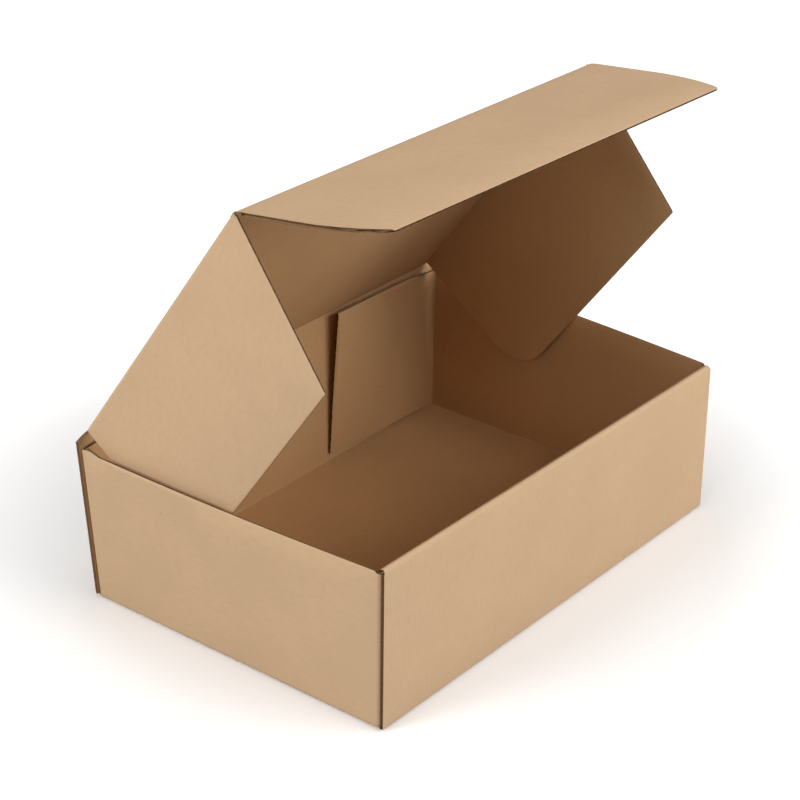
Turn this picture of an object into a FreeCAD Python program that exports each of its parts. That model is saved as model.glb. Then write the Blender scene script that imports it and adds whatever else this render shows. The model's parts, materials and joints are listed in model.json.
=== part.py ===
import FreeCAD, Part
import os
import Sketcher

# Corrugated mailer box, folded from one die-cut blank and standing with its lid propped half open.
# Millimetres. X runs along the front wall, Y from the front wall to the back wall, Z up.
# The origin is the centre of the base's underside.

doc = FreeCAD.newDocument("mailer_box")

# Driving sizes
sheet = doc.addObject("Spreadsheet::Sheet", "Sizes")

SIZES = (
    ("box_length", 330.0, "outside, along the front wall"),
    ("box_width", 227.0, "outside, front to back"),
    ("front_height", 107.0, "top of the rolled front wall"),
    ("side_height", 104.5, "cut top edge of a side wall"),
    ("board", 2.4, "thickness of the corrugated board"),
    ("fold_radius", 0.6, "inside radius of a fold"),
    ("ply_gap", 0.2, "air between boards that lie on each other"),
    ("closing_gap", 0.3, "air under the closed lid and beside its wings"),
    ("crease_gap", 0.2, "from the line of a crease to the board on each side"),
    ("base_gap", 0.3, "air between the base and a board that stands on it"),
    ("front_corner_length", 108.0, "corner flap caught in the front wall"),
    ("front_corner_drop", 1.5, "its top edge below the fold that covers it"),
    ("rear_corner_length", 112.0, "corner flap along the back wall"),
    ("rear_corner_height", 98.5, "its edge at the free end"),
    ("rear_corner_rise", 4.8, "how much its free end stands higher"),
    ("rear_corner_swing_angle", 2.0, "degrees off the back wall"),
    ("rear_corner_relief", 16.0, "length of the cut beside its fold"),
    ("rear_corner_relief_drop", 3.5, "depth of that cut"),
    ("tab_length", 50.0, "lock tab of the front wall"),
    ("tab_spacing", 165.0, "between the middles of the two tabs"),
    ("tab_gap", 0.4, "air round a tab in its slot"),
    ("tuck_gap", 0.6, "air between the tucked front flap and the front wall"),
    ("lid_opening_angle", 54.5, "degrees from closed, as it stands"),
    ("flap_fold_angle", 48.5, "degrees down from the lid's plane, as it stands"),
    ("flap_depth", 101.5, "crease to free edge"),
    ("flap_end_gap", 1.8, "the flap's end inside the lid's side edge"),
    ("flap_shoulder_depth", 72.0, "where the flap's end turns in"),
    ("flap_tip_inset", 13.0, "how far its tip stands in"),
    ("flap_shoulder_radius", 118.0, "curve between the two"),
    ("wing_depth", 102.5, "lid's underside to the wing's low edge"),
    ("wing_rear_gap", 6.5, "hinge to the wing's rear edge"),
    ("wing_front_gap", 2.0, "flap's crease to the wing's front edge"),
    ("wing_front_taper", 30.5, "how far the front edge slopes back"),
    ("wing_rear_radius", 26.0, "rounding of its low rear corner"),
)

for row, (alias, value, note) in enumerate(SIZES, start=1):
    sheet.set("A%d" % row, alias)
    sheet.set("B%d" % row, str(value))
    sheet.set("C%d" % row, note)
    sheet.setAlias("B%d" % row, alias)

# Places that several pieces share, each worked out once from the sizes above
PLACES = (
    ("fold_outer", "board + fold_radius"),
    ("half_length", "box_length / 2"),
    ("half_width", "box_width / 2"),
    ("front_ply_two", "half_width - board - ply_gap"),
    ("front_ply_three", "front_ply_two - board - ply_gap"),
    ("front_inside", "front_ply_three - board"),
    ("side_inside", "half_length - board"),
    ("hinge_place", "half_width - board / 2"),
    ("hinge_height", "front_height + closing_gap + board / 2"),
    ("wing_outside", "side_inside - closing_gap"),
    ("wing_inside", "wing_outside - board"),
    ("lid_depth", "hinge_place + front_inside - tuck_gap - board / 2"),
    ("rear_corner_start", "half_width - board - ply_gap"),
    ("flap_tip_run", "sqrt(flap_tip_inset ^ 2 + (flap_depth - flap_shoulder_depth) ^ 2)"),
    ("flap_tip_turn_angle", "atan(flap_tip_inset / (flap_depth - flap_shoulder_depth))"),
    ("flap_largest_radius", "0.98 * flap_tip_run / tan(flap_tip_turn_angle / 2)"),
)

for row, (alias, formula) in enumerate(PLACES, start=len(SIZES) + 1):
    sheet.set("A%d" % row, alias)
    sheet.set("B%d" % row, "=" + formula)
    sheet.setAlias("B%d" % row, alias)

doc.recompute()


def bound(formula):
    """A formula of sheet names, written so that another object can read it."""
    words = []
    word = ""
    for mark in formula + " ":
        if mark.isalnum() or mark == "_":
            word += mark
            continue
        named = word and not word[0].isdigit() and word not in ("sin", "cos", "min")
        words.append("Sizes." + word if named else word)
        words.append(mark)
        word = ""
    return "".join(words).strip()


def value_of(formula):
    return float(sheet.evalExpression(formula))


def tie(thing, **formulas):
    for name, formula in formulas.items():
        thing.setExpression(name, bound(formula))


def place(thing, at):
    """Bind the place of a piece, given as three formulas."""
    for letter, formula in zip("xyz", at):
        thing.setExpression("Placement.Base." + letter, bound(formula))


def slab(name, low, size):
    """A flat board: its lowest corner and its three sizes."""
    board = doc.addObject("Part::Box", name)
    tie(board, Length=size[0], Width=size[1], Height=size[2])
    place(board, low)
    return board


# Turns that lay a quarter round, made about Z from X towards Y, along another axis
ALONG = {
    "X": FreeCAD.Rotation(FreeCAD.Vector(0, 1, 0), 90),
    "Y": FreeCAD.Rotation(FreeCAD.Vector(1, 0, 0), -90),
    "Z": FreeCAD.Rotation(),
}


def quarter(name, axis, quarter_turns, centre, length, radius):
    """A quarter of a solid cylinder along one axis."""
    wedge = doc.addObject("Part::Cylinder", name)
    wedge.Angle = 90
    tie(wedge, Radius=radius, Height=length)
    spin = FreeCAD.Rotation(FreeCAD.Vector(0, 0, 1), 90 * quarter_turns)
    wedge.Placement = FreeCAD.Placement(FreeCAD.Vector(), ALONG[axis].multiply(spin))
    place(wedge, centre)
    return wedge


def fold(name, axis, quarter_turns, centre, length):
    """The board where it turns a right angle: a quarter round with the inside radius cut out."""
    bend = doc.addObject("Part::Cut", name)
    bend.Base = quarter(name + "_outer", axis, quarter_turns, centre, length, "fold_outer")
    bend.Tool = quarter(name + "_inner", axis, quarter_turns, centre, length, "fold_radius")
    return bend


def plane(body, role):
    for feature in body.Origin.OriginFeatures:
        if feature.Role == role:
            return feature
    raise ValueError("no plane " + role)


def outline(body, name, role, corners):
    """A closed sketch whose corners are bound to formulas of the sheet."""
    sketch = body.newObject("Sketcher::SketchObject", name)
    sketch.AttachmentSupport = [(plane(body, role), "")]
    sketch.MapMode = "FlatFace"
    points = [FreeCAD.Vector(value_of(across), value_of(along), 0) for across, along in corners]
    for here, there in zip(points, points[1:] + points[:1]):
        sketch.addGeometry(Part.LineSegment(here, there), False)
    count = len(points)
    for index in range(count):
        sketch.addConstraint(Sketcher.Constraint("Coincident", index, 2, (index + 1) % count, 1))
    for index, (across, along) in enumerate(corners):
        for kind, formula, size in (
            ("DistanceX", across, points[index].x),
            ("DistanceY", along, points[index].y),
        ):
            number = sketch.addConstraint(Sketcher.Constraint(kind, -1, 1, index, 1, size))
            sketch.setExpression("Constraints[%d]" % number, bound(formula))
    return sketch


def pad(body, name, sketch, length, midplane=False, backwards=False):
    feature = body.newObject("PartDesign::Pad", name)
    feature.Profile = sketch
    feature.Midplane = midplane
    feature.Reversed = backwards
    tie(feature, Length=length)
    doc.recompute()
    return feature


def edge_near(feature, point):
    """The name of the straight edge whose middle lies nearest to a point."""
    target = FreeCAD.Vector(*point)
    gaps = []
    for number, edge in enumerate(feature.Shape.Edges, start=1):
        middle = (edge.Vertexes[0].Point + edge.Vertexes[-1].Point) * 0.5
        gaps.append((middle.distanceToPoint(target), number))
    return "Edge%d" % min(gaps)[1]


def join(label, pieces):
    whole = doc.addObject("Part::MultiFuse", label)
    whole.Shapes = pieces
    whole.Refine = True
    whole.Label = label
    return whole


# Tray: base, back wall, rolled front wall, and two side walls with their corner flaps
base = slab(
    "base",
    ("fold_outer - half_length", "fold_outer - half_width", "0"),
    ("box_length - 2 * fold_outer", "box_width - 2 * fold_outer", "board"),
)

back = doc.addObject("PartDesign::Body", "back_wall")
back_profile = outline(back, "back_profile", "YZ_Plane", (
    ("half_width - board", "fold_outer"),
    ("half_width", "fold_outer"),
    ("half_width", "hinge_height - crease_gap - board / 2"),
    ("hinge_place", "hinge_height - crease_gap"),
    ("half_width - board", "hinge_height - crease_gap - board / 2"),
))
pad(back, "back_board", back_profile, "box_length", midplane=True)

back_fold = fold(
    "back_fold", "X", 0,
    ("0 - half_length", "half_width - fold_outer", "fold_outer"), "box_length",
)

front_fold = fold(
    "front_fold", "X", 3,
    ("0 - half_length", "fold_outer - half_width", "fold_outer"), "box_length",
)
front_outer = slab(
    "front_outer",
    ("0 - half_length", "0 - half_width", "fold_outer"),
    ("box_length", "board", "front_height - 2 * fold_outer"),
)
roll_outer = fold(
    "roll_outer", "X", 2,
    ("0 - half_length", "fold_outer - half_width", "front_height - fold_outer"), "box_length",
)
roll_top = slab(
    "roll_top",
    ("0 - half_length", "fold_outer - half_width", "front_height - board"),
    ("box_length", "half_width - front_inside - 2 * fold_outer", "board"),
)
roll_inner = fold(
    "roll_inner", "X", 1,
    ("0 - half_length", "0 - front_inside - fold_outer", "front_height - fold_outer"), "box_length",
)
front_inner = slab(
    "front_inner",
    ("0 - wing_outside", "0 - front_ply_three", "board + base_gap"),
    ("2 * wing_outside", "board", "front_height - fold_outer - board - base_gap"),
)

# Two tabs of the inner panel lock into slots of the base
tabs = []
slots = []
for side, sign in (("left", "0 - "), ("right", "")):
    middle = sign + "tab_spacing / 2"
    tabs.append(slab(
        "lock_tab_" + side,
        (middle + " - tab_length / 2", "0 - front_ply_three", "0"),
        ("tab_length", "board", "board + base_gap"),
    ))
    slots.append(slab(
        "lock_slot_" + side,
        (middle + " - tab_length / 2 - tab_gap", "0 - front_ply_three - tab_gap", "0 - board"),
        ("tab_length + 2 * tab_gap", "board + 2 * tab_gap", "3 * board"),
    ))
slotted_base = doc.addObject("Part::Cut", "slotted_base")
slotted_base.Base = base
slotted_base.Tool = join("lock_slots", slots)

# Left side wall, with the corner flap that the front wall traps and the one along the back wall
side_fold = fold(
    "side_fold", "Y", 1,
    ("fold_outer - half_length", "fold_outer - front_ply_two", "fold_outer"),
    "2 * (front_ply_two - fold_outer)",
)
side_board = slab(
    "side_board",
    ("0 - half_length", "0 - front_inside + ply_gap", "fold_outer"),
    ("board", "front_inside - ply_gap + rear_corner_start - fold_outer", "side_height - fold_outer"),
)
side_front = slab(
    "side_front",
    ("0 - half_length", "fold_outer - front_ply_two", "fold_outer"),
    ("board", "front_ply_two - fold_outer - front_inside + ply_gap + board",
     "front_height - board - front_corner_drop - fold_outer"),
)
front_corner_fold = fold(
    "front_corner_fold", "Z", 2,
    ("fold_outer - half_length", "fold_outer - front_ply_two", "fold_outer"),
    "front_height - board - front_corner_drop - fold_outer",
)
front_corner = slab(
    "front_corner",
    ("fold_outer - half_length", "0 - front_ply_two", "board + base_gap"),
    ("front_corner_length - fold_outer", "board",
     "front_height - 2 * board - front_corner_drop - base_gap"),
)
rear_corner_fold = fold(
    "rear_corner_fold", "Z", 1,
    ("fold_outer - half_length", "rear_corner_start - fold_outer", "fold_outer"),
    "board + base_gap + rear_corner_height - rear_corner_relief_drop - fold_outer",
)

RISE = "rear_corner_rise / rear_corner_length"
rear_corner = doc.addObject("PartDesign::Body", "rear_corner")
rear_outline = outline(rear_corner, "rear_outline", "XZ_Plane", (
    ("0", "board + base_gap"),
    ("rear_corner_length - fold_outer", "board + base_gap + rear_corner_rise"),
    ("rear_corner_length - fold_outer", "board + base_gap + rear_corner_height + rear_corner_rise"),
    ("rear_corner_relief", "board + base_gap + rear_corner_height + rear_corner_relief * " + RISE),
    ("0", "board + base_gap + rear_corner_height - rear_corner_relief_drop"),
))
pad(rear_corner, "rear_board", rear_outline, "board")
rear_corner.Placement = FreeCAD.Placement(FreeCAD.Vector(), FreeCAD.Rotation(FreeCAD.Vector(0, 0, 1), 0))
rear_corner.setExpression("Placement.Rotation.Angle", bound("0 - rear_corner_swing_angle"))
place(rear_corner, ("fold_outer - half_length", "rear_corner_start", "0"))

left_side = join("left_side", [
    side_fold, side_board, side_front, front_corner_fold, front_corner, rear_corner_fold, rear_corner,
])
right_side = doc.addObject("Part::Mirroring", "right_side")
right_side.Source = left_side
right_side.Normal = FreeCAD.Vector(1, 0, 0)

tray = join("tray", [
    slotted_base, back, back_fold, front_fold, front_outer, roll_outer, roll_top, roll_inner,
    front_inner, *tabs, left_side, right_side,
])


# The lid's pieces are drawn as if the lid were closed, with the hinge line along X through their
# own origin, and are then set on the hinge and turned open.
def open_with_lid(piece):
    piece.Placement = FreeCAD.Placement(FreeCAD.Vector(), FreeCAD.Rotation(FreeCAD.Vector(1, 0, 0), 0))
    piece.setExpression("Placement.Rotation.Angle", bound("0 - lid_opening_angle"))
    place(piece, ("0", "hinge_place", "hinge_height"))


# Lid panel: its two creased edges come to a blunt wedge on the crease line
lid = doc.addObject("PartDesign::Body", "lid_panel")
lid.Label = "lid_panel"
lid_profile = outline(lid, "lid_profile", "YZ_Plane", (
    ("0 - crease_gap", "0"),
    ("0 - crease_gap - board / 2", "board / 2"),
    ("crease_gap + board / 2 - lid_depth", "board / 2"),
    ("crease_gap - lid_depth", "0"),
    ("crease_gap + board / 2 - lid_depth", "0 - board / 2"),
    ("0 - crease_gap - board / 2", "0 - board / 2"),
))
pad(lid, "lid_board", lid_profile, "2 * (wing_inside - crease_gap)", midplane=True)
open_with_lid(lid)

# Wings: each hangs from the lid's side edge and carries the rounded outside of that fold
wing_body = doc.addObject("PartDesign::Body", "wing_body")
wing_outline = outline(wing_body, "wing_outline", "YZ_Plane", (
    ("0 - wing_rear_gap", "0 - board / 2"),
    ("wing_front_gap - lid_depth", "0 - board / 2"),
    ("wing_front_gap + wing_front_taper - lid_depth", "0 - board / 2 - wing_depth"),
    ("0 - wing_rear_gap", "0 - board / 2 - wing_depth"),
))
wing_outline.setExpression("AttachmentOffset.Base.z", bound("0 - wing_inside"))
wing_board = pad(wing_body, "wing_board", wing_outline, "board", backwards=True)
rear_rounding = wing_body.newObject("PartDesign::Fillet", "rear_rounding")
rear_rounding.Base = (wing_board, [edge_near(wing_board, (
    value_of("board / 2 - wing_outside"),
    value_of("0 - wing_rear_gap"),
    value_of("0 - board / 2 - wing_depth"),
))])
tie(rear_rounding, Radius="wing_rear_radius")
wing_fold = quarter(
    "wing_fold", "Y", 2,
    ("0 - wing_inside", "wing_front_gap - lid_depth", "0 - board / 2"),
    "lid_depth - wing_front_gap - wing_rear_gap", "board",
)
left_wing = join("lid_left_wing", [wing_body, wing_fold])
open_with_lid(left_wing)
right_wing = doc.addObject("Part::Mirroring", "lid_right_wing")
right_wing.Label = "lid_right_wing"
right_wing.Source = left_wing
right_wing.Normal = FreeCAD.Vector(1, 0, 0)

# Front flap: flat at its crease, with ends that curve in towards the free edge
flap = doc.addObject("PartDesign::Body", "lid_front_flap")
flap.Label = "lid_front_flap"
FLAP_END = "wing_outside - flap_end_gap"
FLAP_TIP = "wing_outside - flap_tip_inset - flap_end_gap"
flap_outline = outline(flap, "flap_outline", "XY_Plane", (
    ("0 - (" + FLAP_END + ")", "0 - crease_gap"),
    ("0 - (" + FLAP_END + ")", "0 - flap_shoulder_depth"),
    ("0 - (" + FLAP_TIP + ")", "0 - flap_depth"),
    (FLAP_TIP, "0 - flap_depth"),
    (FLAP_END, "0 - flap_shoulder_depth"),
    (FLAP_END, "0 - crease_gap"),
))
flap_board = pad(flap, "flap_board", flap_outline, "board", midplane=True)
shoulders = flap.newObject("PartDesign::Fillet", "shoulders")
shoulders.Base = (flap_board, [
    edge_near(flap_board, (sign * value_of(FLAP_END), value_of("0 - flap_shoulder_depth"), 0))
    for sign in (-1, 1)
])
tie(shoulders, Radius="min(flap_shoulder_radius; flap_largest_radius)")
doc.recompute()
crease_bevel = flap.newObject("PartDesign::Chamfer", "crease_bevel")
crease_bevel.Base = (shoulders, [
    edge_near(shoulders, (0, value_of("0 - crease_gap"), sign * value_of("board / 2")))
    for sign in (-1, 1)
])
tie(crease_bevel, Size="board / 2 - crease_gap / 2")
flap.Placement = FreeCAD.Placement(FreeCAD.Vector(), FreeCAD.Rotation(FreeCAD.Vector(1, 0, 0), 0))
flap.setExpression("Placement.Rotation.Angle", bound("flap_fold_angle - lid_opening_angle"))
place(flap, (
    "0",
    "hinge_place - lid_depth * cos(lid_opening_angle * 1deg)",
    "hinge_height + lid_depth * sin(lid_opening_angle * 1deg)",
))

doc.recompute()

# Check everything, then write one file for each piece
for thing in doc.Objects:
    if "Invalid" in thing.State or "Error" in thing.State:
        raise RuntimeError("%s failed: %s" % (thing.Label, thing.State))

PIECES = (tray, lid, left_wing, right_wing, flap)
for piece in PIECES:
    if piece.Shape.isNull() or not piece.Shape.isValid():
        raise RuntimeError("%s has no valid shape" % piece.Label)
    if len(piece.Shape.Solids) != 1:
        raise RuntimeError("%s is %d solids" % (piece.Label, len(piece.Shape.Solids)))

os.makedirs("parts", exist_ok=True)
for piece in PIECES:
    piece.Shape.exportStep("parts/%s.step" % piece.Label)
    box = piece.Shape.BoundBox
    print("%-16s %9.0f mm3  x %.1f..%.1f  y %.1f..%.1f  z %.1f..%.1f" % (
        piece.Label, piece.Shape.Volume, box.XMin, box.XMax, box.YMin, box.YMax, box.ZMin, box.ZMax,
    ))
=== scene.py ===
"""A plain kraft mailer box of corrugated board, standing open with its lid propped half way.

Every board is made flat, as on the die-cut blank, with its two liners and the fluted medium between
them, and is then folded at its creases and put in place. On a flat board x runs across the flutes,
y along them and z through the thickness. All lengths are in metres.
"""

import json
import math

import bmesh
import bpy
from mathutils import Matrix, Vector


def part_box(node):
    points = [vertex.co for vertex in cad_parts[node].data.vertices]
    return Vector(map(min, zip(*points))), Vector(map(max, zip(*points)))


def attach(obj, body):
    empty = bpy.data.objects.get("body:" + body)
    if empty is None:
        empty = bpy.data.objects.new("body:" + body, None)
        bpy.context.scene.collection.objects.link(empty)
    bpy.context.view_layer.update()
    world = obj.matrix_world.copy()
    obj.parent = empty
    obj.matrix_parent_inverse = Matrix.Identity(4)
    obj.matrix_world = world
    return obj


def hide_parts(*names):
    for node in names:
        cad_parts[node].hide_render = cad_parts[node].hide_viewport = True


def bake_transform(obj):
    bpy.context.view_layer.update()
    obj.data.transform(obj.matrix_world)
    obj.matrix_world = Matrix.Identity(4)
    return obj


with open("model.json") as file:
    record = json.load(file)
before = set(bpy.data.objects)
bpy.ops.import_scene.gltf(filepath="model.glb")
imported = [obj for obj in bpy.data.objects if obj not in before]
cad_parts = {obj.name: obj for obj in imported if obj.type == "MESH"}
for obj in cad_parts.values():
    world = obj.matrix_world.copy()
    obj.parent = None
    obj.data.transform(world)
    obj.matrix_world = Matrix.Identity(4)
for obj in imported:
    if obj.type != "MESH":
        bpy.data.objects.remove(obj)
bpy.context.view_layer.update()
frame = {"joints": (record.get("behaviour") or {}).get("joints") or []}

MM = 0.001
QUARTER = math.pi / 2
X, Y, Z = Vector((1, 0, 0)), Vector((0, 1, 0)), Vector((0, 0, 1))

# What the frame says
tray_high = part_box("tray")[1]
wing_low, wing_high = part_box("lid_right_wing")
joints = {joint["name"]: joint for joint in frame["joints"]}
HALF_LENGTH = tray_high.x
HALF_WIDTH = tray_high.y
BOARD = wing_high.x - wing_low.x
HINGE = Vector(joints["lid_hinge"]["pos_m"])
FLAP_HINGE = Vector(joints["front_flap_fold"]["pos_m"])
LID_DEPTH = (FLAP_HINGE - HINGE).length
LID_WAY = (FLAP_HINGE - HINGE).normalized()
LID_HEADING = math.atan2(LID_WAY.z, LID_WAY.y)
FLAP_RANGE = joints["front_flap_fold"]["range_deg"]
WING_FOLD_X = wing_low.x

# The corrugated board
LINER = 0.28 * MM
MEDIUM = 0.2 * MM
FLUTE_PITCH = 5.55 * MM
FLUTE_STEPS = 6
FOLD_RADIUS = 0.6 * MM
FOLD_STEPS = 6
SHARP_ANGLE = math.radians(28)
MIDDLE_RADIUS = FOLD_RADIUS + BOARD / 2
OUTER_RADIUS = FOLD_RADIUS + BOARD
ARC = MIDDLE_RADIUS * QUARTER

# Heights and lengths that the tray's boards share
PLY_GAP = 0.2 * MM
FRONT_HEIGHT = 107 * MM
SIDE_HEIGHT = 104.5 * MM
STAND_OFF = BOARD + 0.3 * MM
FRONT_INSIDE = HALF_WIDTH - 3 * BOARD - 2 * PLY_GAP
SIDE_FOLD_Y = HALF_WIDTH - BOARD - PLY_GAP - OUTER_RADIUS
CREASE_REACH = 2.6 * MM
LID_REACH = 5 * MM

# A cut edge is pressed thin over this reach, down to this share of the board
RIM_REACH = 1.6 * MM
RIM_SHARE = 0.42

# How far apart each board is cut, across its flutes and along them, so that it can bend out of true
STRIP_CUTS = 15 * MM, 25 * MM
SIDE_CUTS = 17 * MM, 9 * MM
CORNER_FLAP_CUT = 12 * MM
SIDE_FOLD_CUT = 18 * MM
PANEL_CUTS = 20 * MM, 24 * MM
WING_CUTS = 33 * MM, 24 * MM
FLAP_CUTS = 20 * MM, 33 * MM
CREASE_CUT = 12 * MM

# The front wall's boards lie at least this far in front of the middle, and the back wall's as far behind
END_ZONE = 100 * MM

# What the real box does out of true sets in over these: the back wall over a length, and the side
# walls over a share of the box's half length
BACK_RUN = 8 * MM
SIDE_SHARE = 0.4

# How the real box stands out of true
SIDE_SPLAY = 7 * MM
SIDE_BULGE = 2.5 * MM
BACK_LEAN = 3.6 * MM
FRONT_TILT = 1.2 * MM
ROLL_DROP = 3 * MM
HINGE_RISE = 2.1 * MM
HINGE_TILT = 1.4 * MM
CORNER_FLAP_LEAN = 5 * MM
CORNER_FLAP_RISE = 6 * MM
LID_TWIST = math.radians(0.8)
FLAP_FOLD = -math.radians(FLAP_RANGE[0] + 1.4)
LID_DRIFT = -1.5 * MM
PANEL_HALF = WING_FOLD_X + 1 * MM
WING_LEAN = {-1: math.radians(0.4), 1: math.radians(0.8)}

# The finishes that a piece holds, in this order
# The finish of the liner that faces into the box is darkened with painted shade for the inside of the box
OUTER_LINER, CUT_EDGE, INNER_LINER_PAINTED_SHADE = range(3)


# Flat boards

def slice_sheet(bm, place, normal):
    """Cuts a flat sheet along a line, and keeps both sides."""
    everything = bm.verts[:] + bm.edges[:] + bm.faces[:]
    bmesh.ops.bisect_plane(bm, geom=everything, dist=1e-7, plane_co=place, plane_no=normal)


def even_cuts(low, high, step):
    count = max(int(round((high - low) / step)), 1)
    return [low + (high - low) * index / count for index in range(1, count)]


def cut_out(bm, low, high):
    """Removes the part of a sheet that lies in a box, such as a slot."""
    def inside(face):
        middle = face.calc_center_median()
        return low[0] < middle.x < high[0] and low[1] < middle.y < high[1]

    bmesh.ops.delete(bm, geom=[face for face in bm.faces if inside(face)], context="FACES")


def flat_sheet(outline, x_cuts=(), y_cuts=(), slots=(), rims=()):
    bm = bmesh.new()
    bm.faces.new([bm.verts.new((x, y, 0)) for x, y in outline])
    for low, high in slots:
        x_cuts = [*x_cuts, low[0], high[0]]
        y_cuts = [*y_cuts, low[1], high[1]]
    for x in x_cuts:
        slice_sheet(bm, (x, 0, 0), X)
    for y in y_cuts:
        slice_sheet(bm, (0, y, 0), Y)
    for place, outwards in rims:
        slice_sheet(bm, place - outwards * RIM_REACH, outwards)
    for low, high in slots:
        cut_out(bm, low, high)
    return bm


def thicken(bm, low, high):
    """Turns a sheet into a thin solid between two heights of the board."""
    bmesh.ops.translate(bm, verts=bm.verts[:], vec=(0, 0, low))
    copied = bmesh.ops.extrude_face_region(bm, geom=bm.faces[:])
    raised = [item for item in copied["geom"] if isinstance(item, bmesh.types.BMVert)]
    bmesh.ops.translate(bm, verts=raised, vec=(0, 0, high - low))
    bmesh.ops.recalc_face_normals(bm, faces=bm.faces[:])


def map_flat(bm, shift):
    """Gives each face its place on the blank, so that a finish follows the board round its folds."""
    layer = bm.loops.layers.uv.new("blank")
    for face in bm.faces:
        for loop in face.loops:
            loop[layer].uv = (loop.vert.co.x + shift[0], loop.vert.co.y + shift[1])


def join(sheets):
    """Puts several sheets into one mesh."""
    whole = bmesh.new()
    for sheet in sheets:
        carried = bpy.data.meshes.new("carried")
        sheet.to_mesh(carried)
        sheet.free()
        whole.from_mesh(carried)
        bpy.data.meshes.remove(carried)
    return whole


def arc_length(angle, radius):
    """How much board a fold takes up, along the middle of the board."""
    return (radius + BOARD / 2) * abs(angle)


def extent(outline):
    """The low corner and the high corner of an outline."""
    return zip(*[(min(places), max(places)) for places in zip(*outline)])


def fold_cuts(creases):
    """Where a sheet needs cutting so that it can bend at its creases."""
    cuts = []
    for place, angle, radius in creases:
        arc = arc_length(angle, radius)
        cuts += [place + arc * step / FOLD_STEPS for step in range(FOLD_STEPS + 1)]
    return cuts


def finish_faces(bm, upper, lower):
    """The two wide sides of a sheet get their finishes, and the cut round its rim shows brown."""
    for face in bm.faces:
        if abs(face.normal.z) > 0.5:
            face.material_index = upper if face.normal.z > 0 else lower
        else:
            face.material_index = CUT_EDGE


def rim(first, last, middle):
    """A straight cut edge that is pressed thin: a point on it, and the way out of the board there."""
    along = Vector((*last, 0)) - Vector((*first, 0))
    outwards = along.cross(Z).normalized()
    if outwards.dot(Vector((*middle, 0)) - Vector((*first, 0))) > 0:
        outwards = -outwards
    return Vector((*first, 0)), outwards


def press_rims(bm, rims):
    for place, outwards in rims:
        for vert in bm.verts:
            if (vert.co - place).dot(outwards) > -RIM_REACH / 4:
                vert.co.z *= RIM_SHARE


def fluted_board(outline, inside, creases=(), slots=(), x_cuts=(), y_cuts=(), shift=(0, 0), rims=()):
    """Two liners with a wavy medium between them. The medium is crushed away where a crease bends.

    Inside is 1 where the board's upper liner faces into the box, and -1 where its lower one does.
    """
    bends = fold_cuts(creases)
    layers = []
    for layer, low in ((-1, -BOARD / 2), (1, BOARD / 2 - LINER)):
        liner = flat_sheet(outline, x_cuts, [*y_cuts, *bends], slots, rims)
        thicken(liner, low, low + LINER)
        finish = INNER_LINER_PAINTED_SHADE if layer == inside else OUTER_LINER
        finish_faces(liner, finish, finish)
        layers.append(liner)

    lows, highs = extent(outline)
    crushed = [((lows[0], place), (highs[0], place + arc_length(angle, radius)))
               for place, angle, radius in creases]
    wave_cuts = even_cuts(lows[0], highs[0], FLUTE_PITCH / FLUTE_STEPS)
    crushed_edges = [edge[1] for zone in crushed for edge in zone]
    medium = flat_sheet(outline, wave_cuts, [*y_cuts, *crushed_edges], slots, rims)
    for low, high in crushed:
        cut_out(medium, low, high)
    swing = (BOARD - 2 * LINER - MEDIUM) / 2
    for vert in medium.verts:
        vert.co.z = swing * math.sin(2 * math.pi * vert.co.x / FLUTE_PITCH)
    thicken(medium, -MEDIUM / 2, MEDIUM / 2)
    for face in medium.faces:
        face.material_index = CUT_EDGE
    layers.append(medium)

    bm = join(layers)
    press_rims(bm, rims)
    map_flat(bm, shift)
    return bm


def crease_board(outline, inside, creases, pinch=0.0, shift=(0, 0), x_cuts=()):
    """A short stretch of board that is pressed together at its crease."""
    bm = flat_sheet(outline, x_cuts, fold_cuts(creases))
    thicken(bm, -BOARD / 2, BOARD / 2)
    upper, lower = (INNER_LINER_PAINTED_SHADE, OUTER_LINER) if inside > 0 else (OUTER_LINER, INNER_LINER_PAINTED_SHADE)
    finish_faces(bm, upper, lower)
    lows, highs = extent(outline)
    middle = (lows[1] + highs[1]) / 2
    reach = (highs[1] - lows[1]) / 2
    for vert in bm.verts:
        nearness = 1 - min(abs(vert.co.y - middle) / reach, 1)
        vert.co.z *= 1 - pinch * nearness * nearness * (3 - 2 * nearness)
    map_flat(bm, shift)
    return bm


def fold(bm, creases, start, heading):
    """Bends a board at its creases. It begins at a point of the (y, z) plane, with a heading there."""
    for vert in bm.verts:
        across, along, height = vert.co
        place = Vector(start)
        turned = heading
        done = 0.0
        for crease, angle, radius in creases:
            if along <= crease:
                break
            place += (crease - done) * Vector((math.cos(turned), math.sin(turned)))
            middle = math.copysign(radius + BOARD / 2, angle)
            done = min(along, crease + abs(middle * angle))
            bent = (done - crease) / middle
            centre = place + middle * Vector((-math.sin(turned), math.cos(turned)))
            turned += bent
            place = centre - middle * Vector((-math.sin(turned), math.cos(turned)))
        place += (along - done) * Vector((math.cos(turned), math.sin(turned)))
        place += height * Vector((-math.sin(turned), math.cos(turned)))
        vert.co = (across, place.x, place.y)


def to_axes(bm, x, y, z, origin=(0, 0, 0)):
    """Turns a board so that its own x, y and z run along three directions from an origin."""
    turn = Matrix((x, y, z)).transposed().to_4x4()
    bmesh.ops.transform(bm, matrix=Matrix.Translation(origin) @ turn, verts=bm.verts[:])
    if turn.determinant() < 0:
        bmesh.ops.reverse_faces(bm, faces=bm.faces[:])


def clamp(value):
    return min(max(value, 0), 1)


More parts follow.
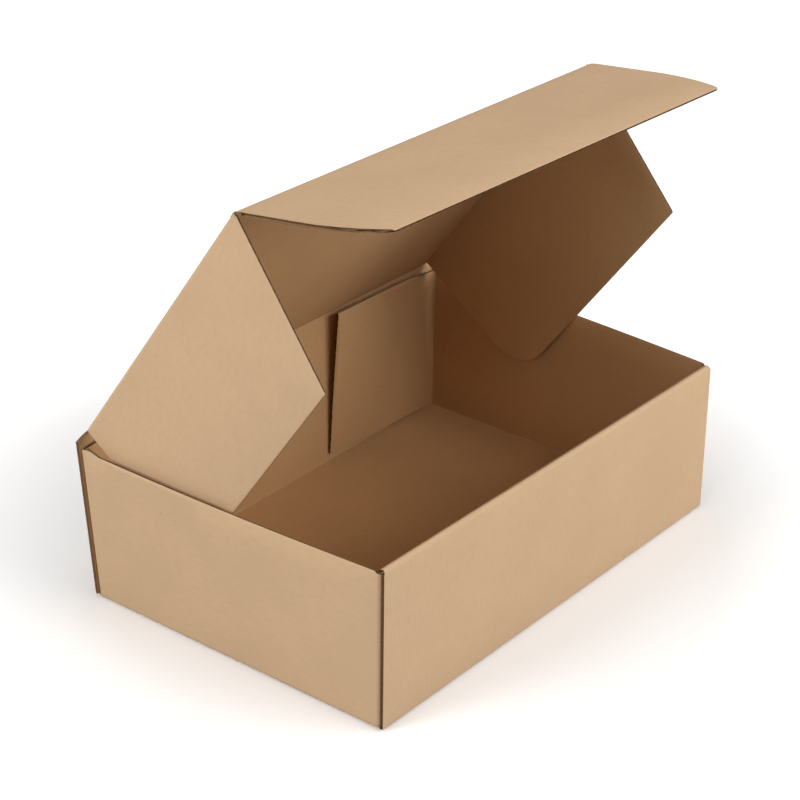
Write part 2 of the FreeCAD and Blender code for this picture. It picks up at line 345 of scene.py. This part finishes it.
def settle_tray(point):
    """Where a point of the true tray lies on the real one, whose walls have spread and leaned a little."""
    rise = point.z / FRONT_HEIGHT
    back = clamp((point.y + HALF_WIDTH) / (2 * HALF_WIDTH))
    tilt = point.x / HALF_LENGTH
    near_end = clamp((abs(tilt) - 1) / SIDE_SHARE + 1) ** 2
    near_back = clamp((point.y - END_ZONE) / BACK_RUN)
    spread = (SIDE_SPLAY * back + SIDE_BULGE * math.sin(math.pi * back)) * rise * near_end
    lift = near_back * (HINGE_RISE - HINGE_TILT * tilt)
    return point + Vector((math.copysign(spread, point.x), BACK_LEAN * rise * near_back, lift * rise))


def sink_front(bm, start, run):
    """The front wall stands lower towards its right end."""
    for vert in bm.verts:
        share = clamp((-vert.co.y - start) / run)
        drop = FRONT_TILT * (1 + vert.co.x / HALF_LENGTH)
        vert.co.z -= drop * share * vert.co.z / FRONT_HEIGHT


def settle_lid(point):
    """The same for the lid, which is twisted a little and stands back with the wall that carries it."""
    arm = point - HINGE
    turn = LID_TWIST * point.x / HALF_LENGTH
    along = arm.y * math.cos(turn) - arm.z * math.sin(turn)
    up = arm.y * math.sin(turn) + arm.z * math.cos(turn)
    lift = HINGE_RISE - HINGE_TILT * point.x / HALF_LENGTH
    return HINGE + Vector((arm.x + LID_DRIFT, along + BACK_LEAN, up + lift))


def settle(bm, way):
    for vert in bm.verts:
        vert.co = way(vert.co)


def mirrored(outline):
    """Both halves of an outline, from its right half listed front to back."""
    return outline + [(-x, y) for x, y in reversed(outline)]


def finish_piece(name, bm, materials):
    mesh = bpy.data.meshes.new(name)
    bm.to_mesh(mesh)
    bm.free()
    mesh.polygons.foreach_set("use_smooth", [True] * len(mesh.polygons))
    mesh.set_sharp_from_angle(angle=SHARP_ANGLE)
    for material in materials:
        mesh.materials.append(material)
    piece = bpy.data.objects.new(name, mesh)
    bpy.context.scene.collection.objects.link(piece)
    return piece


# Materials

def new_material(name):
    material = bpy.data.materials.new(name)
    material.use_nodes = True
    nodes = material.node_tree.nodes
    return material, nodes, material.node_tree.links, nodes["Principled BSDF"]


def value_noise(nodes, links, coords, scale, detail, stretch=(1, 1, 1)):
    """A noise with features about one over scale long, stretched along the board if asked."""
    mapping = nodes.new("ShaderNodeMapping")
    mapping.inputs["Scale"].default_value = stretch
    links.new(coords, mapping.inputs["Vector"])
    noise = nodes.new("ShaderNodeTexNoise")
    noise.inputs["Scale"].default_value = scale
    noise.inputs["Detail"].default_value = detail
    links.new(mapping.outputs["Vector"], noise.inputs["Vector"])
    return noise.outputs["Fac"]


def span(nodes, links, source, low, high, to_low, to_high):
    """Carries a value from one range to another."""
    node = nodes.new("ShaderNodeMapRange")
    for name, value in (("From Min", low), ("From Max", high), ("To Min", to_low), ("To Max", to_high)):
        node.inputs[name].default_value = value
    links.new(source, node.inputs["Value"])
    return node.outputs["Result"]


def combine(nodes, links, operation, first, second):
    node = nodes.new("ShaderNodeMath")
    node.operation = operation
    for index, value in enumerate((first, second)):
        if isinstance(value, (int, float)):
            node.inputs[index].default_value = value
        else:
            links.new(value, node.inputs[index])
    return node.outputs["Value"]


def tint(nodes, links, amount, base, other):
    """Mixes a second colour in by an amount."""
    node = nodes.new("ShaderNodeMix")
    node.data_type = "RGBA"
    links.new(amount, node.inputs["Factor"])
    for socket, colour in (("A", base), ("B", other)):
        target = next(s for s in node.inputs if s.name == socket and s.type == "RGBA")
        if isinstance(colour, tuple):
            target.default_value = (*colour, 1)
        else:
            links.new(colour, target)
    return next(s for s in node.outputs if s.type == "RGBA")


FLECK = (0.300, 0.180, 0.095)
CORE = (0.170, 0.098, 0.050)
CORE_PALE = (0.225, 0.135, 0.070)


def shaded(colour, share):
    """A colour made lighter or darker by a share."""
    return tuple(part * share for part in colour)


def kraft_liner(name, kraft):
    """Unbleached liner: mottled, with fine fibres along the flutes, a few flecks and a faint washboard."""
    material, nodes, links, shader = new_material(name)
    blank = nodes.new("ShaderNodeUVMap")
    blank.uv_map = "blank"
    coords = blank.outputs["UV"]
    clouds = value_noise(nodes, links, coords, 22, 4)
    fibres = value_noise(nodes, links, coords, 420, 3, (1, 0.35, 1))
    grain = value_noise(nodes, links, coords, 1500, 2)
    colour = tint(nodes, links, span(nodes, links, clouds, 0.35, 0.65, 0, 1), kraft, shaded(kraft, 1.05))
    colour = tint(nodes, links, span(nodes, links, fibres, 0.45, 0.75, 0, 0.5), colour, shaded(kraft, 0.92))
    specks = nodes.new("ShaderNodeTexVoronoi")
    specks.inputs["Scale"].default_value = 130
    links.new(coords, specks.inputs["Vector"])
    near = span(nodes, links, specks.outputs["Distance"], 0.035, 0.06, 1, 0)
    chosen = nodes.new("ShaderNodeSeparateColor")
    links.new(specks.outputs["Color"], chosen.inputs["Color"])
    few = combine(nodes, links, "GREATER_THAN", chosen.outputs["Red"], 0.93)
    colour = tint(nodes, links, combine(nodes, links, "MULTIPLY", near, few), colour, FLECK)
    links.new(colour, shader.inputs["Base Color"])

    where = nodes.new("ShaderNodeSeparateXYZ")
    links.new(coords, where.inputs["Vector"])
    phase = combine(nodes, links, "MULTIPLY", where.outputs["X"], 2 * math.pi / FLUTE_PITCH)
    washboard = combine(nodes, links, "SINE", phase, 0.0)
    height = combine(nodes, links, "MULTIPLY", washboard, 0.35)
    height = combine(nodes, links, "ADD", height, combine(nodes, links, "MULTIPLY", grain, 0.6))
    height = combine(nodes, links, "ADD", height, combine(nodes, links, "MULTIPLY", fibres, 0.8))
    bump = nodes.new("ShaderNodeBump")
    bump.inputs["Strength"].default_value = 0.35
    bump.inputs["Distance"].default_value = 0.06 * MM
    links.new(height, bump.inputs["Height"])
    links.new(bump.outputs["Normal"], shader.inputs["Normal"])
    shader.inputs["Roughness"].default_value = 0.82
    shader.inputs["Specular IOR Level"].default_value = 0.25
    return material


def fluting():
    """The medium between the liners, browner and rougher, seen at the cut edges only."""
    material, nodes, links, shader = new_material("kraft_fluting")
    blank = nodes.new("ShaderNodeUVMap")
    blank.uv_map = "blank"
    fibres = value_noise(nodes, links, blank.outputs["UV"], 600, 3)
    colour = tint(nodes, links, span(nodes, links, fibres, 0.35, 0.7, 0, 1), CORE, CORE_PALE)
    links.new(colour, shader.inputs["Base Color"])
    shader.inputs["Roughness"].default_value = 0.95
    shader.inputs["Specular IOR Level"].default_value = 0.1
    return material


# Tray

def long_strip():
    """Inner front panel, rolled top, front wall, base and back wall: one strip folded four times."""
    roll_flat = HALF_WIDTH - FRONT_INSIDE - 2 * OUTER_RADIUS
    roll_one = FRONT_HEIGHT - OUTER_RADIUS - STAND_OFF
    roll_two = roll_one + ARC + roll_flat
    front_fold = roll_two + ARC + FRONT_HEIGHT - 2 * OUTER_RADIUS
    base_run = 2 * (HALF_WIDTH - OUTER_RADIUS)
    back_fold = front_fold + ARC + base_run
    end = back_fold + ARC + HINGE.z - CREASE_REACH - OUTER_RADIUS
    creases = [(place, QUARTER, FOLD_RADIUS) for place in (roll_one, roll_two, front_fold, back_fold)]

    tab_middle, tab_half, tab_drop = 82.5 * MM, 25 * MM, STAND_OFF - 0.3 * MM
    tab_near, tab_far = tab_middle - tab_half, tab_middle + tab_half
    inner_half = WING_FOLD_X + BOARD
    base_half = HALF_LENGTH - OUTER_RADIUS
    corner_cut = 0.3 * MM
    outline = mirrored([
        (tab_near, 0),
        (tab_near, -tab_drop),
        (tab_far, -tab_drop),
        (tab_far, 0),
        (inner_half, 0),
        (inner_half, roll_one - 6 * MM),
        (HALF_LENGTH - 4 * MM, roll_one - 1 * MM),
        (HALF_LENGTH - 3 * MM, roll_one + ARC / 2),
        (HALF_LENGTH - 1 * MM, roll_two + ARC / 2),
        (HALF_LENGTH, roll_two + ARC),
        (HALF_LENGTH, front_fold + ARC / 2 - corner_cut),
        (base_half, front_fold + ARC / 2),
        (base_half, back_fold + ARC / 2),
        (HALF_LENGTH, back_fold + ARC / 2 + corner_cut),
        (HALF_LENGTH, end),
    ])
    slot_gap = 0.4 * MM
    slot_low = front_fold + ARC + (HALF_WIDTH - OUTER_RADIUS) - FRONT_INSIDE - BOARD - slot_gap
    slot_high = slot_low + BOARD + 2 * slot_gap
    slot_half = tab_half + slot_gap
    slots = [((side * tab_middle - slot_half, slot_low), (side * tab_middle + slot_half, slot_high))
             for side in (-1, 1)]
    bm = fluted_board(
        outline, 1, creases, slots,
        x_cuts=even_cuts(-HALF_LENGTH, HALF_LENGTH, STRIP_CUTS[0]),
        y_cuts=even_cuts(0, end, STRIP_CUTS[1]),
    )
    fold(bm, creases, (-FRONT_INSIDE - BOARD / 2, STAND_OFF), QUARTER)
    sink_front(bm, END_ZONE, 2 * MM)
    roll_crest = 2 * MM - HALF_WIDTH
    roll_fall = 5 * MM
    for vert in bm.verts:
        if vert.co.y < -END_ZONE:
            share = clamp((vert.co.y - roll_crest) / roll_fall)
            vert.co.z -= ROLL_DROP * share * vert.co.z / FRONT_HEIGHT
    return bm


def side_strip():
    """Left side wall between its two corner flaps. Its own x is the height."""
    front_crease = 105 * MM
    rear_crease = front_crease + ARC + 2 * SIDE_FOLD_Y
    rear_start = rear_crease + ARC
    rear_run = 108.7 * MM
    end = rear_start + rear_run
    end_top = 105.2 * MM
    tip_cut = 3 * MM
    creases = [(place, -QUARTER, FOLD_RADIUS) for place in (front_crease, rear_crease)]
    foot = STAND_OFF + 0.1 * MM
    tucked_top = FRONT_HEIGHT - BOARD - 3.5 * MM
    flap_end_lean = 5.2 * MM
    outline = [
        (foot, tip_cut),
        (foot, front_crease),
        (OUTER_RADIUS, front_crease + ARC),
        (OUTER_RADIUS, rear_crease),
        (foot, rear_start),
        (foot, end),
        (end_top, end - flap_end_lean),
        (104.4 * MM, rear_start + 27 * MM),
        (102.2 * MM, rear_start + 5 * MM),
        (101.8 * MM, rear_start),
        (102.4 * MM, rear_crease),
        (103.8 * MM, rear_crease - 1.5 * MM),
        (SIDE_HEIGHT, rear_crease - 4 * MM),
        (SIDE_HEIGHT, front_crease + ARC + 1.5 * MM),
        (103.4 * MM, front_crease + ARC / 2),
        (tucked_top, front_crease - 2 * MM),
        (tucked_top, tip_cut),
        (90 * MM, 0),
        (15 * MM, 0),
    ]
    wall_cuts = even_cuts(front_crease + ARC, rear_crease, SIDE_CUTS[1])
    bm = fluted_board(
        outline, -1, creases,
        x_cuts=even_cuts(foot, SIDE_HEIGHT, SIDE_CUTS[0]),
        y_cuts=wall_cuts + even_cuts(rear_start, end, CORNER_FLAP_CUT),
        shift=(0.4, 0),
        rims=[
            rim((foot, end), (end_top, end - flap_end_lean), (foot, 0)),
            rim((SIDE_HEIGHT, 0), (SIDE_HEIGHT, end), (foot, 0)),
        ],
    )
    corner = HALF_LENGTH - OUTER_RADIUS - front_crease
    fold(bm, creases, (-corner, -SIDE_FOLD_Y - MIDDLE_RADIUS), math.pi)
    to_axes(bm, Z, X, Y)
    return bm


def side_fold():
    """The rounded corner from the base up into the left side wall."""
    reach = SIDE_FOLD_Y + OUTER_RADIUS
    outline = [(-reach, 0), (reach, 0), (reach, ARC), (-reach, ARC)]
    creases = [(0, -QUARTER, FOLD_RADIUS)]
    bm = crease_board(outline, -1, creases, shift=(0.4, 0.1), x_cuts=even_cuts(-reach, reach, SIDE_FOLD_CUT))
    fold(bm, creases, (OUTER_RADIUS - HALF_LENGTH, BOARD / 2), math.pi)
    to_axes(bm, Y, X, Z)
    return bm


def lean_corner_flap(bm):
    """The left wall's rear flap stands off the back wall at its top, and its free end stands higher."""
    rear_plane = SIDE_FOLD_Y + FOLD_RADIUS
    flap_run = 108 * MM
    for vert in bm.verts:
        if vert.co.y > rear_plane:
            out = clamp((vert.co.x + HALF_LENGTH - OUTER_RADIUS) / flap_run)
            vert.co.y -= CORNER_FLAP_LEAN * vert.co.z / SIDE_HEIGHT * out
            vert.co.z += CORNER_FLAP_RISE * out


def make_tray(materials):
    sides = []
    for side in (1, -1):
        strip = side_strip()
        lean_corner_flap(strip)
        for part in (strip, side_fold()):
            if side < 0:
                to_axes(part, -X, Y, Z)
            sink_front(part, SIDE_FOLD_Y, OUTER_RADIUS)
            sides.append(part)
    bm = join([long_strip(), *sides])
    settle(bm, settle_tray)
    piece = finish_piece("tray_board", bm, materials)
    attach(piece, "tray")
    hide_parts("tray")


# Lid

LID_OUT = LID_WAY.cross(X)


def in_lid(bm):
    """Places a board drawn in the lid's plane: x along the hinge, y to the front edge, z outwards."""
    to_axes(bm, X, LID_WAY, LID_OUT, HINGE)


def make_lid_panel(materials):
    half = PANEL_HALF
    outline = mirrored([
        (half - 0.2 * MM, LID_REACH),
        (half, LID_REACH + 0.4 * MM),
        (half, LID_DEPTH - LID_REACH - 0.4 * MM),
        (half - 0.4 * MM, LID_DEPTH - LID_REACH),
    ])
    bm = fluted_board(outline, -1, x_cuts=even_cuts(-half, half, PANEL_CUTS[0]),
                      y_cuts=even_cuts(0, LID_DEPTH, PANEL_CUTS[1]), shift=(0, 0.6))
    in_lid(bm)
    settle(bm, settle_lid)
    piece = finish_piece("lid_board", bm, materials)
    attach(piece, "lid")
    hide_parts("lid_panel")


WING_DEPTH = 101.3 * MM
WING_REAR = 3.5 * MM
WING_FRONT = LID_DEPTH - 0.6 * MM
WING_FRONT_LOW = {-1: 180.4 * MM, 1: 190.3 * MM}
WING_REAR_RADIUS = 27 * MM


def wing_outline(side):
    """From the crease down to the low edge, with a rounded rear corner."""
    round_steps = 12
    rear_corner = [
        (WING_DEPTH - WING_REAR_RADIUS * (1 - math.cos(angle)),
         WING_REAR + WING_REAR_RADIUS * (1 - math.sin(angle)))
        for angle in [QUARTER * step / round_steps for step in range(round_steps + 1)]
    ]
    return [(0, WING_REAR), (0, WING_FRONT), (WING_DEPTH, WING_FRONT_LOW[side]), *rear_corner]


def make_wing(side, body, materials):
    """A wing hangs from the lid's side crease. Side is -1 for the left one and 1 for the right one."""
    front_top = (0, WING_FRONT)
    front_low = (WING_DEPTH, WING_FRONT_LOW[side])
    rear_low = (WING_DEPTH, WING_REAR + WING_REAR_RADIUS)
    bm = fluted_board(wing_outline(side), -1, x_cuts=even_cuts(0, WING_DEPTH, WING_CUTS[0]),
                      y_cuts=even_cuts(0, WING_FRONT, WING_CUTS[1]), shift=(0.2 + 0.2 * side, 0.6),
                      rims=[rim(front_top, front_low, (0, 0)), rim(front_low, rear_low, (0, 0))])
    for vert in bm.verts:
        vert.co.z += vert.co.x * math.tan(WING_LEAN[side])
    to_axes(bm, -Z, Y, side * X, (side * (PANEL_HALF + BOARD / 2), 0, -BOARD / 2))
    in_lid(bm)
    settle(bm, settle_lid)
    board = finish_piece(body + "_board", bm, materials)
    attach(board, body)
    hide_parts("lid_" + body)

    arc = BOARD / 2 * QUARTER
    creases = [(0, QUARTER, 0.0)]
    outline = [(WING_REAR, 0), (WING_FRONT, 0), (WING_FRONT, arc), (WING_REAR, arc)]
    bm = crease_board(outline, 1, creases, shift=(0.2 + 0.2 * side, 0.5),
                      x_cuts=even_cuts(WING_REAR, WING_FRONT, WING_CUTS[1]))
    fold(bm, creases, (-PANEL_HALF, 0), math.pi)
    to_axes(bm, Y, -side * X, Z)
    in_lid(bm)
    settle(bm, settle_lid)
    crease = finish_piece(body + "_crease", bm, materials)
    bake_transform(crease)


def make_crease(name, angle, start, heading, reaches, halves, ways, materials, shift):
    """The board that turns from one panel into the next, at a crease that still moves.

    Where it begins and where it ends, it has a reach from the crease, a half length, and a way in which
    it lies on the real box.
    """
    inside_radius = 2.2 * MM
    tangent = (inside_radius + BOARD / 2) * math.tan(angle / 2)
    straight = reaches[0] - tangent
    length = sum(reaches) - 2 * tangent + (inside_radius + BOARD / 2) * angle
    first, last = halves
    creases = [(straight, angle, inside_radius)]
    outline = mirrored([(first, 0), (last, length / 2), (last, length)])
    bm = crease_board(outline, 1, creases, pinch=0.3, shift=shift,
                      x_cuts=even_cuts(-first, first, CREASE_CUT))
    shares = [vert.co.y / length for vert in bm.verts]
    fold(bm, creases, (start.y, start.z), heading)
    for vert, share in zip(bm.verts, shares):
        vert.co = ways[0](vert.co).lerp(ways[1](vert.co), share)
    return finish_piece(name, bm, materials)


FLAP_DEPTH = 101.5 * MM
FLAP_HALF = 162.8 * MM
FLAP_STRAIGHT = 47 * MM
FLAP_END_RADIUS = 130 * MM


def flap_outline():
    """Straight ends near the crease, then a curve in towards the free edge."""
    steps = 10
    turn = math.asin((FLAP_DEPTH - FLAP_STRAIGHT) / FLAP_END_RADIUS)
    curve = [
        (FLAP_HALF - FLAP_END_RADIUS * (1 - math.cos(turn * step / steps)),
         FLAP_STRAIGHT + FLAP_END_RADIUS * math.sin(turn * step / steps))
        for step in range(steps + 1)
    ]
    return mirrored([(FLAP_HALF - 0.6 * MM, LID_REACH), (FLAP_HALF, LID_REACH + 1 * MM), *curve])


def make_flap(materials):
    bm = fluted_board(flap_outline(), 1, x_cuts=even_cuts(-FLAP_HALF, FLAP_HALF, FLAP_CUTS[0]),
                      y_cuts=even_cuts(0, FLAP_DEPTH, FLAP_CUTS[1]), shift=(0, 0.9),
                      rims=[rim((0, FLAP_DEPTH), (FLAP_HALF, FLAP_DEPTH), (0, 0))])
    heading = LID_HEADING + FLAP_FOLD
    away = Vector((0, math.cos(heading), math.sin(heading)))
    to_axes(bm, X, away, X.cross(away), FLAP_HINGE)
    settle(bm, settle_lid)
    piece = finish_piece("flap_board", bm, materials)
    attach(piece, "front_flap")
    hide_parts("lid_front_flap")
    return away


def make_lid(materials):
    make_lid_panel(materials)
    make_wing(-1, "left_wing", materials)
    make_wing(1, "right_wing", materials)

    wall_top = HINGE - Z * CREASE_REACH
    crease = make_crease("lid_crease", LID_HEADING - QUARTER, wall_top, QUARTER, (CREASE_REACH, LID_REACH),
                         (HALF_LENGTH, PANEL_HALF - 1 * MM), (settle_tray, settle_lid),
                         materials, (0, 0.5))
    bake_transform(crease)

    away = make_flap(materials)
    lid_end = FLAP_HINGE - LID_WAY * LID_REACH
    crease = make_crease("flap_crease", FLAP_FOLD, lid_end, LID_HEADING, (LID_REACH, LID_REACH),
                         (PANEL_HALF + BOARD / 2, FLAP_HALF), (settle_lid, settle_lid), materials, (0, 0.8))
    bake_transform(crease)


# Studio

def seen_rays(nodes, links):
    """1 for the rays that make the picture, and 0 for those that only carry light."""
    path = nodes.new("ShaderNodeLightPath")
    seen = combine(nodes, links, "MAXIMUM", path.outputs["Is Camera Ray"], path.outputs["Is Glossy Ray"])
    return combine(nodes, links, "MAXIMUM", seen, path.outputs["Is Transmission Ray"])


# The floor's own glow grows between these distances from the middle, so that its far parts are white
GLOW_FROM, GLOW_TO = 0.2, 0.34
GLOW_NEAR, GLOW_FAR = 0.02, 0.36


def make_floor():
    """A wide pale floor that shows white and keeps the shadow."""
    bm = bmesh.new()
    bmesh.ops.create_grid(bm, x_segments=1, y_segments=1, size=6)
    mesh = bpy.data.meshes.new("floor")
    bm.to_mesh(mesh)
    bm.free()
    floor = bpy.data.objects.new("floor", mesh)
    bpy.context.scene.collection.objects.link(floor)
    material, nodes, links, shader = new_material("pale_floor")
    shader.inputs["Base Color"].default_value = (0.45, 0.45, 0.45, 1)
    shader.inputs["Roughness"].default_value = 0.9
    shader.inputs["Specular IOR Level"].default_value = 0.0
    lit = nodes.new("ShaderNodeBsdfDiffuse")
    lit.inputs["Color"].default_value = (1, 1, 1, 1)
    glow = nodes.new("ShaderNodeEmission")
    place = nodes.new("ShaderNodeTexCoord").outputs["Object"]
    away = nodes.new("ShaderNodeVectorMath")
    away.operation = "LENGTH"
    links.new(place, away.inputs[0])
    strength = span(nodes, links, away.outputs["Value"], GLOW_FROM, GLOW_TO, GLOW_NEAR, GLOW_FAR)
    links.new(strength, glow.inputs["Strength"])
    seen = nodes.new("ShaderNodeAddShader")
    links.new(lit.outputs[0], seen.inputs[0])
    links.new(glow.outputs[0], seen.inputs[1])
    choice = nodes.new("ShaderNodeMixShader")
    links.new(seen_rays(nodes, links), choice.inputs[0])
    links.new(shader.outputs[0], choice.inputs[1])
    links.new(seen.outputs[0], choice.inputs[2])
    links.new(choice.outputs[0], nodes["Material Output"].inputs["Surface"])
    mesh.materials.append(material)


def make_world(light):
    """Even light from all round. What the camera sees of it is plain white."""
    world = bpy.data.worlds.new("studio")
    bpy.context.scene.world = world
    world.use_nodes = True
    nodes, links = world.node_tree.nodes, world.node_tree.links
    strength = span(nodes, links, seen_rays(nodes, links), 0, 1, light, 1)
    background = nodes["Background"]
    background.inputs["Color"].default_value = (1, 1, 1, 1)
    links.new(strength, background.inputs["Strength"])


LAMP_TARGET = (0, 0, 0.1)


def make_lamp(name, place, size, power):
    """A round soft lamp that points at the middle of the box."""
    lamp = bpy.data.lights.new(name, "AREA")
    lamp.shape = "DISK"
    lamp.size = size
    lamp.energy = power
    holder = bpy.data.objects.new(name, lamp)
    holder.location = place
    holder.rotation_mode = "QUATERNION"
    holder.rotation_quaternion = (Vector(LAMP_TARGET) - Vector(place)).to_track_quat("-Z", "Y")
    bpy.context.scene.collection.objects.link(holder)


# The camera's place and lens, found from the box's corners in the photograph
CAMERA_AZIMUTH = math.radians(-51.61)
CAMERA_ELEVATION = math.radians(27.816)
CAMERA_ROLL = math.radians(-0.764)
FOCAL_PIXELS = 2538.0
PICTURE_PIXELS = 800
SENSOR = 36
OBJECT_FROM_CAMERA = Vector((5.029, 95.27, 1612.935)) * MM


def make_camera():
    """Right, down and ahead are the camera's own directions."""
    ahead = Vector((
        -math.sin(CAMERA_AZIMUTH) * math.cos(CAMERA_ELEVATION),
        math.cos(CAMERA_AZIMUTH) * math.cos(CAMERA_ELEVATION),
        -math.sin(CAMERA_ELEVATION),
    ))
    level = ahead.cross(Z).normalized()
    under = ahead.cross(level)
    right = level * math.cos(CAMERA_ROLL) + under * math.sin(CAMERA_ROLL)
    down = ahead.cross(right)
    turn = Matrix((right, -down, -ahead)).transposed()
    data = bpy.data.cameras.new("camera")
    data.sensor_width = SENSOR
    data.lens = FOCAL_PIXELS * SENSOR / PICTURE_PIXELS
    camera = bpy.data.objects.new("camera", data)
    camera.rotation_mode = "QUATERNION"
    camera.rotation_quaternion = turn.to_quaternion()
    across, below, away = OBJECT_FROM_CAMERA
    camera.location = -(right * across + down * below + ahead * away)
    bpy.context.scene.collection.objects.link(camera)
    bpy.context.scene.camera = camera


make_camera()
make_world(light=0.25)
make_lamp("left", (-2.15, 0.75, 1.35), size=1.2, power=36)
make_lamp("left_front", (-2.3, -0.4, 1.05), size=1.2, power=9)
make_lamp("front", (0.3, -2.1, 1.6), size=1.3, power=22)
make_lamp("right", (1.4, -1.8, 0.75), size=1.3, power=29)
make_lamp("top", (-0.2, 0, 2.6), size=1.6, power=9)
make_floor()
outer_liner = kraft_liner("kraft_outer_liner", (0.57, 0.385, 0.230))
# The liner that faces into the box is darker and browner than the outer one: painted shade for the inside of
# the box
inner_liner_painted_shade = kraft_liner("kraft_inner_liner_painted_shade", (0.48, 0.285, 0.135))
board_materials = (outer_liner, fluting(), inner_liner_painted_shade)
make_tray(board_materials)
make_lid(board_materials)

scene = bpy.context.scene
scene.view_settings.view_transform = "Standard"
